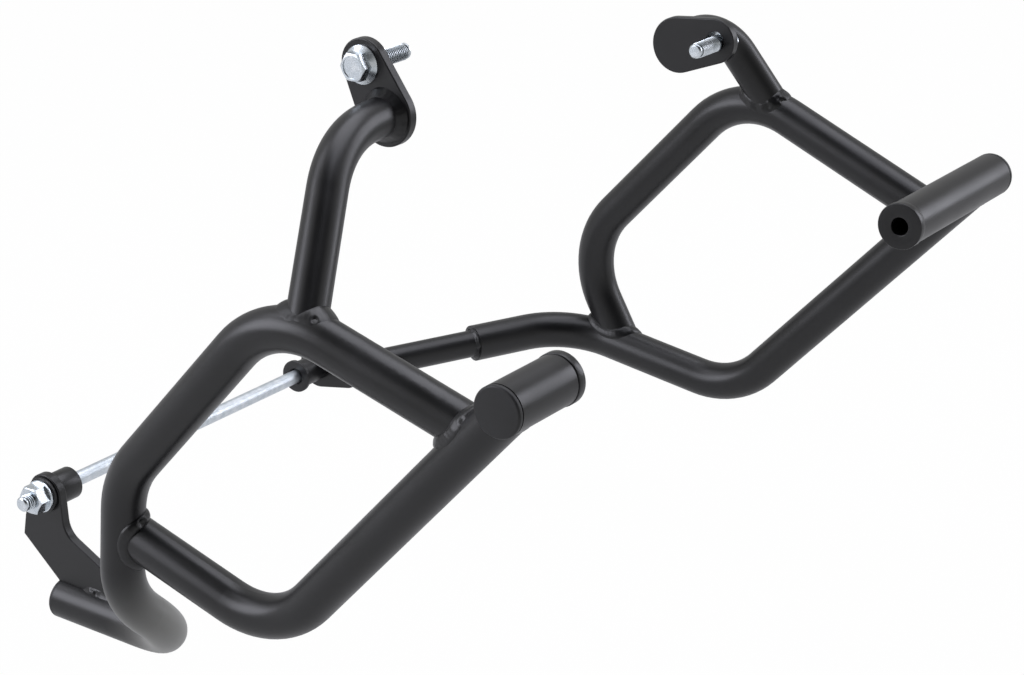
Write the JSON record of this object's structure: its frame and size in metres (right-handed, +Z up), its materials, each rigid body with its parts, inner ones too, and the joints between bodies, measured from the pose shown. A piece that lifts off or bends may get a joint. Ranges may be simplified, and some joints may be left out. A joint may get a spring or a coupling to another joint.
{
  "type": "motorcycle crash bars",
  "caption": "Bent tube engine guards for a motorcycle: a closed loop on each side with welded arms, mounting plates and front bosses, joined by a through rod under the engine.",
  "frame": {"origin": "on the engine rod's axis, midway between the planes of the two tube loops", "axes": "+X forward along the motorcycle, +Y along the engine rod towards the rider's left, +Z up"},
  "size_m": [0.4362, 0.5035, 0.3717],
  "materials": {
    "powder_coat": "satin black powder coat with a very fine texture",
    "zinc_plate": "bright clear zinc plating",
    "cap_plastic": "moulded black plastic, fine matt grain",
    "black_washer": "black oxide washer"
  },
  "bodies": {
    "root": {"right_main_tube": "powder_coat", "right_lower_tube": "powder_coat", "right_upper_arm": "powder_coat", "right_upper_plate": "powder_coat", "right_lower_plate": "powder_coat", "right_lower_bush": "powder_coat", "right_stub_plug": "cap_plastic", "right_boss_tube": "powder_coat", "right_boss_cap": "cap_plastic", "right_boss_collar": "powder_coat", "right_upper_bolt": "zinc_plate", "left_upper_tube": "powder_coat", "left_lower_tube": "powder_coat", "left_extension_tube": "powder_coat", "left_upper_arm": "powder_coat", "left_upper_plate": "powder_coat", "left_lower_plate": "powder_coat", "left_lower_bush": "powder_coat", "left_boss_tube": "powder_coat", "left_boss_cap": "cap_plastic", "left_boss_collar": "powder_coat", "left_upper_bolt": "zinc_plate", "engine_rod": "zinc_plate", "right_rod_nut": "zinc_plate", "right_rod_washer": "zinc_plate", "right_eye_washer": "black_washer", "left_eye_washer": "black_washer"}
  },
  "joints": []
}
